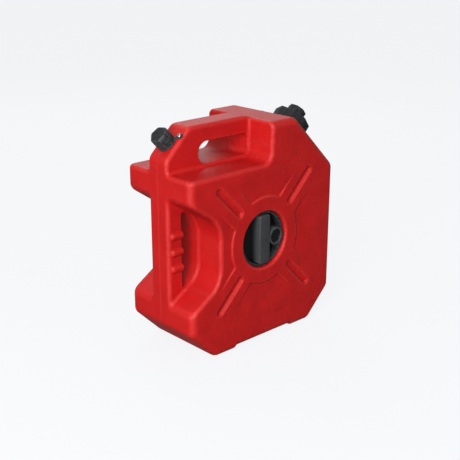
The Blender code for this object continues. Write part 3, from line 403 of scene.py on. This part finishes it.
def surface_net():
    """Points and quads of the tank's surface, one point in each crossed cell."""
    reach = FILLER_HEIGHT + GRID_MARGIN
    axes = []
    for low, high in ((-HALF_WIDTH - GRID_MARGIN, HALF_WIDTH + GRID_MARGIN),
                      (-HALF_DEPTH - GRID_MARGIN, HALF_DEPTH + GRID_MARGIN),
                      (-GRID_MARGIN, HEIGHT + reach / 4)):
        count = int(math.ceil((high - low) / CELL))
        count += 1 - count % 2
        middle = (low + high) / 2
        axes.append(middle + (np.arange(count + 1) - count / 2) * CELL)
    field = tank_distance(axes[0][:, None, None], axes[1][None, :, None], axes[2][None, None, :])
    inside = field < 0
    shape = [len(axis) - 1 for axis in axes]
    total = np.zeros(shape + [3])
    crossings = np.zeros(shape)
    for axis in range(3):
        first = [slice(None)] * 3
        second = [slice(None)] * 3
        first[axis] = slice(0, -1)
        second[axis] = slice(1, None)
        a, b = field[tuple(first)], field[tuple(second)]
        crossed = inside[tuple(first)] != inside[tuple(second)]
        where = np.argwhere(crossed)
        share = (a[crossed] / (a[crossed] - b[crossed]))
        place = np.stack([axes[k][where[:, k]] for k in range(3)], axis=1)
        place[:, axis] += share * CELL
        others = [k for k in range(3) if k != axis]
        for back_first in (0, 1):
            for back_second in (0, 1):
                cell = where.copy()
                cell[:, others[0]] -= back_first
                cell[:, others[1]] -= back_second
                keep = np.all((cell >= 0) & (cell < shape), axis=1)
                index = tuple(cell[keep].T)
                np.add.at(total, index, place[keep])
                np.add.at(crossings, index, 1)
    used = crossings > 0
    number = np.full(shape, -1)
    number[used] = np.arange(used.sum())
    points = total[used] / crossings[used][:, None]
    quads = []
    for axis in range(3):
        first = [slice(None)] * 3
        second = [slice(None)] * 3
        first[axis] = slice(0, -1)
        second[axis] = slice(1, None)
        a, b = inside[tuple(first)], inside[tuple(second)]
        where = np.argwhere(a != b)
        leaving = a[a != b]
        others = [(axis + 1) % 3, (axis + 2) % 3]
        ring = []
        for back in ((0, 0), (1, 0), (1, 1), (0, 1)):
            cell = where.copy()
            cell[:, others[0]] -= back[0]
            cell[:, others[1]] -= back[1]
            ring.append(number[tuple(cell.T)])
        ring = np.stack(ring, axis=1)
        quads.append(np.where(leaving[:, None], ring, ring[:, ::-1]))
    return points, np.concatenate(quads)


def project(points):
    """The points moved onto the tank's surface."""
    for _ in range(PROJECTION_STEPS):
        distance = np.clip(tank_distance(*points.T), -CELL / 2, CELL / 2)
        points = points - gradient(points, GRADIENT_STEP) * distance[:, None]
    return points


def mesh_points(mesh):
    """A mesh's vertex places as an array."""
    flat = np.empty(len(mesh.vertices) * 3)
    mesh.vertices.foreach_get("co", flat)
    return flat.reshape(-1, 3)


def build_tank(material):
    """The tank's skin, as one mesh with true normals and an edge attribute for lighter edges,
    partly rubbed wear and partly painted highlight.
    """
    points, quads = surface_net()
    points = project(points)
    mesh = bpy.data.meshes.new("tank_skin")
    mesh.from_pydata(points.tolist(), [], quads.tolist())
    tank = bpy.data.objects.new("tank_skin", mesh)
    bpy.context.scene.collection.objects.link(tank)
    decimate = tank.modifiers.new("decimate", "DECIMATE")
    decimate.ratio = min(1.0, TANK_TRIANGLES / (2 * len(quads)))
    graph = bpy.context.evaluated_depsgraph_get()
    finished = bpy.data.meshes.new_from_object(tank.evaluated_get(graph))
    tank.modifiers.clear()
    tank.data = finished
    bpy.data.meshes.remove(mesh)

    places = project(mesh_points(finished))
    normals = gradient(places, GRADIENT_STEP)
    edge = np.clip((curvature(places, CURVE_STEP) - WEAR_AND_HIGHLIGHT_START) / WEAR_AND_HIGHLIGHT_RANGE, 0, 1)
    wear_and_highlight = finished.attributes.new("wear_and_highlight", "FLOAT", "POINT")
    wear_and_highlight.data.foreach_set("value", edge.astype(np.float32))
    places[:, 0] += CENTRE_X
    finished.vertices.foreach_set("co", places.ravel())
    finished.update()
    finished.shade_smooth()
    finished.normals_split_custom_set_from_vertices(normals.tolist())
    finished.materials.clear()
    finished.materials.append(material)
    return tank


# ----------------------------------------------------------------- materials


class Shader:
    """A material's node tree with short ways to add to it."""

    def __init__(self, name, material=None):
        self.material = material or bpy.data.materials.new(name)
        self.material.use_nodes = True
        self.tree = self.material.node_tree
        self.surface = self.tree.nodes["Principled BSDF"]
        self.coordinates = self.tree.nodes.new("ShaderNodeTexCoord").outputs["Object"]

    def link(self, source, target):
        self.tree.links.new(source, target)

    def noise(self, scale, detail=3.0, roughness=0.55, stretch=None):
        """Noise whose features are about 1/scale metres."""
        node = self.tree.nodes.new("ShaderNodeTexNoise")
        node.inputs["Scale"].default_value = scale
        node.inputs["Detail"].default_value = detail
        node.inputs["Roughness"].default_value = roughness
        place = self.coordinates
        if stretch:
            mapping = self.tree.nodes.new("ShaderNodeMapping")
            mapping.inputs["Scale"].default_value = stretch
            self.link(place, mapping.inputs["Vector"])
            place = mapping.outputs["Vector"]
        self.link(place, node.inputs["Vector"])
        return node.outputs["Fac"]

    def spread(self, value, low, high, from_low=0.3, from_high=0.7):
        """The value's middle range stretched to low..high."""
        node = self.tree.nodes.new("ShaderNodeMapRange")
        node.inputs["From Min"].default_value = from_low
        node.inputs["From Max"].default_value = from_high
        node.inputs["To Min"].default_value = low
        node.inputs["To Max"].default_value = high
        self.link(value, node.inputs["Value"])
        return node.outputs["Result"]

    def times(self, first, second):
        node = self.tree.nodes.new("ShaderNodeMath")
        node.operation = "MULTIPLY"
        self.link(first, node.inputs[0])
        self.link(second, node.inputs[1])
        return node.outputs["Value"]

    def blend(self, share, low, high):
        """Mix of two colours, or of a node's colour and a colour."""
        node = self.tree.nodes.new("ShaderNodeMix")
        node.data_type = "RGBA"
        self.link(share, node.inputs["Factor"])
        for socket, colour in ((node.inputs[6], low), (node.inputs[7], high)):
            if isinstance(colour, tuple):
                socket.default_value = (*colour, 1)
            else:
                self.link(colour, socket)
        return node.outputs[2]

    def bump(self, height, distance, strength=1.0, below=None):
        """A bump whose full height is distance, in metres."""
        node = self.tree.nodes.new("ShaderNodeBump")
        node.inputs["Distance"].default_value = distance
        node.inputs["Strength"].default_value = strength
        self.link(height, node.inputs["Height"])
        if below:
            self.link(below, node.inputs["Normal"])
        return node.outputs["Normal"]

    def wear_and_highlight(self, patch_scale, amount):
        """Share of lighter edge: the edge attribute broken up by noise; partly rubbed wear, partly
        painted highlight.
        """
        node = self.tree.nodes.new("ShaderNodeAttribute")
        node.attribute_name = "wear_and_highlight"
        patches = self.spread(self.noise(patch_scale), 0.25 * amount, amount)
        return self.times(node.outputs["Fac"], patches)


def moulded_plastic(name, colour, light, edge_wear_and_highlight_colour, roughness, grain, grain_height, wear_and_highlight, waviness,
                    gloss):
    """Moulded plastic: mottled colour, leather-like grain, lighter edges that are partly rubbed
    wear and partly painted highlight.
    """
    shader = Shader(name)
    mottle = shader.spread(shader.noise(MOTTLE_SCALE), 0.0, 1.0)
    fine = shader.noise(grain, 4.0, 0.6)
    base = shader.blend(mottle, colour, light)
    # Convex edges lightened towards the edge colour: partly rubbed wear, partly painted highlight.
    base = shader.blend(shader.wear_and_highlight(WEAR_AND_HIGHLIGHT_PATCH_SCALE, wear_and_highlight), base, edge_wear_and_highlight_colour)
    shader.link(base, shader.surface.inputs["Base Color"])
    speckle = shader.spread(fine, roughness - 0.05, roughness + 0.07)
    shader.link(speckle, shader.surface.inputs["Roughness"])
    soft = shader.bump(shader.noise(WAVE_SCALE, 1.0), waviness)
    shader.link(shader.bump(fine, grain_height, 1.0, soft), shader.surface.inputs["Normal"])
    shader.surface.inputs["Specular IOR Level"].default_value = gloss
    return shader.material


def paint_shade_with_depth(material, outer, inner):
    """Paints shade on a plastic: blackens it from the Y of outer to the Y of inner, where light
    falls off deep in a cup.
    """
    shader = Shader(material.name, material)
    split = shader.tree.nodes.new("ShaderNodeSeparateXYZ")
    shader.link(shader.coordinates, split.inputs["Vector"])
    depth = shader.spread(split.outputs["Y"], 0.0, 1.0, outer, inner)
    socket = shader.surface.inputs["Base Color"]
    shader.link(shader.blend(depth, socket.links[0].from_socket, KNOB_PAINTED_SHADE_COLOUR), socket)
    return material


def plated_metal(name, colour, dark, roughness, stretch):
    """Plated steel: cloudy colour, fine draw marks, uneven gloss."""
    shader = Shader(name)
    cloud = shader.spread(shader.noise(CLOUD_SCALE), 0.0, 1.0)
    marks = shader.noise(DRAW_SCALE, 4.0, 0.65, stretch)
    base = shader.blend(cloud, colour, dark)
    base = shader.blend(shader.wear_and_highlight(METAL_RUB_SCALE, METAL_RUB), base, colour)
    shader.link(base, shader.surface.inputs["Base Color"])
    uneven = shader.spread(marks, roughness - 0.08, roughness + 0.12)
    shader.link(uneven, shader.surface.inputs["Roughness"])
    shader.link(shader.bump(marks, DRAW_HEIGHT), shader.surface.inputs["Normal"])
    shader.surface.inputs["Metallic"].default_value = 1.0
    return shader.material


# Each plastic's third colour lightens its edges: partly rubbed wear, partly painted highlight.
MATERIALS = {
    "red_polyethylene": moulded_plastic(
        "red_polyethylene", (0.47, 0.0055, 0.0055), (0.54, 0.0080, 0.0080), (0.68, 0.060, 0.052),
        0.42, 620.0, 0.00070, 0.50, 0.0010, 0.34),
    "black_plastic": moulded_plastic(
        "black_plastic", (0.0022, 0.0027, 0.0034), (0.0046, 0.0053, 0.0062), (0.125, 0.130, 0.135),
        0.42, 1500.0, 0.00006, 0.8, 0.0001, 0.18),
    # The knob's grey plastic with painted shade, darker deeper in its housing.
    "dark_grey_plastic": paint_shade_with_depth(moulded_plastic(
        "dark_grey_plastic", (0.026, 0.028, 0.030), (0.036, 0.038, 0.041), (0.11, 0.112, 0.115),
        0.50, 1500.0, 0.00006, 0.8, 0.0001, 0.34), *KNOB_SHADE),
    "black_rubber": moulded_plastic(
        "black_rubber", (0.010, 0.010, 0.010), (0.017, 0.017, 0.016), (0.05, 0.05, 0.048),
        0.78, 2200.0, 0.00008, 0.6, 0.0001, 0.34),
    "zinc_steel": plated_metal("zinc_steel", (0.62, 0.63, 0.61), (0.45, 0.46, 0.45), 0.34,
                               (1.0, 9.0, 1.0)),
    "nickel_plate": plated_metal("nickel_plate", (0.070, 0.070, 0.070), (0.045, 0.045, 0.045), 0.34,
                                 (1.0, 1.0, 7.0)),
}


# ------------------------------------------------------------------ hardware
BODY_OF = {node: body for body, nodes in frame["record"]["behaviour"]["bodies"].items()
           for node in nodes}
SLOT_OF = {part["node"]: part["material_slot"] for part in frame["record"]["subparts"]}


def mark_wear_and_highlight(mesh):
    """Writes how sharply the surface turns outwards at each vertex; this lightens edges, partly as
    rubbed wear and partly as painted highlight.
    """
    builder = bmesh.new()
    builder.from_mesh(mesh)
    values = []
    for vertex in builder.verts:
        turns = [edge.calc_face_angle_signed(0.0) for edge in vertex.link_edges]
        values.append(min(1.0, max([0.0] + turns) / EDGE_ANGLE))
    builder.free()
    wear_and_highlight = mesh.attributes.new("wear_and_highlight", "FLOAT", "POINT")
    wear_and_highlight.data.foreach_set("value", values)


def adopt(piece, node):
    """The piece stands for a CAD node: it goes on the node's body and the node is hidden."""
    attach(piece, BODY_OF[node])
    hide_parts(node)


def soft_copy(node, bevel, add=None):
    """A copy of a CAD node with bevelled edges and any added detail.

    Merged faces are cut into triangles before the bevel, so none fills a hole.
    """
    builder = bmesh.new()
    builder.from_mesh(frame["nodes"][node].data)
    bmesh.ops.remove_doubles(builder, verts=builder.verts, dist=WELD)
    bmesh.ops.dissolve_limit(builder, angle_limit=FLAT_ANGLE, verts=builder.verts,
                             edges=builder.edges)
    bmesh.ops.triangulate(builder, faces=[face for face in builder.faces if len(face.verts) > 4])
    if add:
        add(builder)
    mesh = bpy.data.meshes.new(node + "_finished")
    builder.to_mesh(mesh)
    builder.free()
    piece = bpy.data.objects.new(node + "_finished", mesh)
    bpy.context.scene.collection.objects.link(piece)
    rounding = piece.modifiers.new("rounding", "BEVEL")
    rounding.width = bevel
    rounding.segments = BEVEL_STEPS
    rounding.limit_method = "ANGLE"
    rounding.angle_limit = EDGE_ANGLE
    rounding.use_clamp_overlap = False
    rounding.harden_normals = True
    mesh.shade_smooth()
    graph = bpy.context.evaluated_depsgraph_get()
    finished = bpy.data.meshes.new_from_object(piece.evaluated_get(graph))
    piece.modifiers.clear()
    piece.data = finished
    bpy.data.meshes.remove(mesh)
    mark_wear_and_highlight(finished)
    finished.materials.clear()
    finished.materials.append(MATERIALS[SLOT_OF[node]])
    adopt(piece, node)
    return piece


def add_bar(builder, place, size):
    """A closed box of a given size, centred at place."""
    bmesh.ops.create_cube(builder, size=1.0, matrix=place @ Matrix.Diagonal((*size, 1)))


def axis_matrix(place):
    """Frame of a neck: its local Z is the axis, local Y is the can's Y."""
    (x, z), lean = place
    return Matrix.Translation((x + CENTRE_X, 0, z)) @ Matrix.Rotation(lean * math.pi / 4, 4, "Y")


def grip_panels(builder, place, flats, turn, apothem, low, high, half_width, ribs):
    """A frame with upright ribs on each flat of a cap."""
    middle = (low + high) / 2
    for flat in range(flats):
        face = (place @ Matrix.Rotation(turn + 2 * math.pi * flat / flats, 4, "Z")
                @ Matrix.Translation((apothem, 0, 0)))
        for height in (low, high):
            add_bar(builder, face @ Matrix.Translation((0, 0, height)),
                    (2 * FRAME_PROUD, 2 * half_width + FRAME_WIDTH, FRAME_WIDTH))
        for rib in range(ribs):
            offset = (rib / (ribs - 1) * 2 - 1) * half_width
            add_bar(builder, face @ Matrix.Translation((0, offset, middle)),
                    (2 * FRAME_PROUD, FRAME_WIDTH, high - low))


def thread(name, place, radius, low, high, pitch, proud, material):
    """A helical ridge round a neck, run out to nothing at both ends."""
    count = int((high - low) / pitch * THREAD_STEPS) + 1
    base = pitch * THREAD_BASE_SHARE
    crest_half = base * THREAD_CREST_SHARE
    root = radius - THREAD_ROOT
    builder = bmesh.new()
    rings = []
    for index in range(count):
        angle = 2 * math.pi * index / THREAD_STEPS
        run_out = min(1.0, index / THREAD_RUN_OUT, (count - 1 - index) / THREAD_RUN_OUT)
        crest = radius + proud * run_out
        height = low + pitch * index / THREAD_STEPS
        ring = []
        for out, up in ((root, -base), (crest, -crest_half), (crest, crest_half), (root, base)):
            ring.append(builder.verts.new(place @ Vector((out * math.cos(angle),
                                                          out * math.sin(angle), height + up))))
        rings.append(ring)
    for first, second in zip(rings, rings[1:]):
        for corner in range(4):
            following = (corner + 1) % 4
            builder.faces.new((first[corner], first[following], second[following],
                               second[corner]))
    builder.faces.new(rings[0])
    builder.faces.new(reversed(rings[-1]))
    bmesh.ops.recalc_face_normals(builder, faces=builder.faces)
    mesh = bpy.data.meshes.new(name)
    builder.to_mesh(mesh)
    builder.free()
    mesh.shade_smooth()
    mesh.set_sharp_from_angle(angle=THREAD_SMOOTH_ANGLE)
    mesh.materials.append(material)
    piece = bpy.data.objects.new(name, mesh)
    bpy.context.scene.collection.objects.link(piece)
    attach(piece, "tank")
    return piece


def build_hardware():
    """Every CAD piece but the tank, softened or with its finish."""
    breather = axis_matrix(breather_place())
    details = {
        "breather_cap": lambda builder: grip_panels(
            builder, breather, BREATHER_CAP_FLATS, BREATHER_CAP_TURN, BREATHER_CAP_APOTHEM,
            *BREATHER_CAP_FRAME, BREATHER_CAP_FRAME_HALF_WIDTH, BREATHER_CAP_RIBS),
    }
    bevels = {
        "filler_collar": 0.0007, "nozzle_cap": 0.0006, "breather_cap": 0.0003,
        "breather_tether": 0.0004, "tether_screw": 0.0003, "pour_spout": 0.0003,
        "lock_housing": 0.0005, "rear_cup": 0.0005, "lock_knob": 0.00035, "knob_back": 0.0003,
        "key_plug": 0.0002, "cylinder_case": 0.0003, "cross_bar": 0.0006, "shaft_nut": 0.0005,
        "lock_shaft": 0.0003,
    }
    for node, bevel in bevels.items():
        soft_copy(node, bevel, details.get(node))
    for node, thing in frame["nodes"].items():
        if node not in bevels and node != "tank_body":
            for slot in thing.material_slots:
                slot.material = MATERIALS[SLOT_OF[node]]
    red = MATERIALS["red_polyethylene"]
    thread("filler_thread", axis_matrix(filler_place()), FILLER_RADIUS, 0.0055, 0.0162, 0.0042,
           0.0010, red)
    thread("breather_thread", breather, BREATHER_RADIUS, 0.0045, 0.0130, 0.0028, 0.0005, red)


# -------------------------------------------------------------- studio
def build_floor():
    """A plain pale floor that glows softly, so that it stays even all over."""
    shader = Shader("pale_floor")
    tone = shader.spread(shader.noise(3.0), 0.0, 1.0)
    shader.link(shader.blend(tone, (0.095, 0.097, 0.100), (0.100, 0.102, 0.105)),
                shader.surface.inputs["Base Color"])
    shader.surface.inputs["Roughness"].default_value = 0.9
    shader.surface.inputs["Specular IOR Level"].default_value = 0.0
    shader.surface.inputs["Emission Color"].default_value = (0.972, 0.984, 1.0, 1)
    shader.surface.inputs["Emission Strength"].default_value = FLOOR_GLOW
    builder = bmesh.new()
    bmesh.ops.create_grid(builder, x_segments=8, y_segments=8, size=FLOOR_HALF_SIZE)
    mesh = bpy.data.meshes.new("floor")
    builder.to_mesh(mesh)
    builder.free()
    mesh.materials.append(shader.material)
    floor = bpy.data.objects.new("floor", mesh)
    bpy.context.scene.collection.objects.link(floor)
    floor.visible_diffuse = False
    floor.visible_glossy = False


def area_light(name, place, target, size, power):
    """A soft square light aimed at a point."""
    data = bpy.data.lights.new(name, "AREA")
    data.size = size
    data.energy = power
    lamp = bpy.data.objects.new(name, data)
    bpy.context.scene.collection.objects.link(lamp)
    lamp.location = place
    lamp.rotation_euler = (Vector(target) - Vector(place)).to_track_quat("-Z", "Y").to_euler()


def build_world():
    """A pale sky that darkens towards and below the horizon."""
    world = bpy.data.worlds.new("studio")
    world.use_nodes = True
    tree = world.node_tree
    place = tree.nodes.new("ShaderNodeTexCoord")
    split = tree.nodes.new("ShaderNodeSeparateXYZ")
    climb = tree.nodes.new("ShaderNodeMapRange")
    climb.inputs["From Min"].default_value = -0.25
    climb.inputs["From Max"].default_value = 0.60
    climb.inputs["To Min"].default_value = SKY_LOW
    climb.inputs["To Max"].default_value = SKY_HIGH
    backdrop = tree.nodes["Background"]
    backdrop.inputs["Color"].default_value = (0.97, 0.98, 1.0, 1)
    tree.links.new(place.outputs["Generated"], split.inputs["Vector"])
    tree.links.new(split.outputs["Z"], climb.inputs["Value"])
    tree.links.new(climb.outputs["Result"], backdrop.inputs["Strength"])
    bpy.context.scene.world = world


def build_studio():
    """Pale sky, soft key and low fill from the left, a high light from the back right."""
    build_world()
    bpy.context.scene.view_settings.view_transform = "Standard"
    middle = (0, 0, HEIGHT / 2)
    area_light("key", (-1.20, -0.82, 0.80), middle, 0.95, 25)
    area_light("back", (0.75, 1.15, 1.15), middle, 0.9, 6)
    area_light("low_left", (-1.25, -0.65, 0.05), (0, 0, 0.05), 0.6, 9)


def build_camera():
    """Camera at the photograph's viewing angle."""
    data = bpy.data.cameras.new("camera")
    data.lens = CAMERA_LENS
    camera = bpy.data.objects.new("camera", data)
    bpy.context.scene.collection.objects.link(camera)
    level = math.cos(CAMERA_ELEVATION)
    back = Vector((math.sin(CAMERA_AZIMUTH) * level, -math.cos(CAMERA_AZIMUTH) * level,
                   math.sin(CAMERA_ELEVATION)))
    camera.location = CAMERA_TARGET + back * CAMERA_DISTANCE
    camera.rotation_euler = (-back).to_track_quat("-Z", "Y").to_euler()
    bpy.context.scene.camera = camera


build_camera()
build_studio()
build_floor()
adopt(build_tank(MATERIALS["red_polyethylene"]), "tank_body")
build_hardware()

bpy.context.view_layer.update()
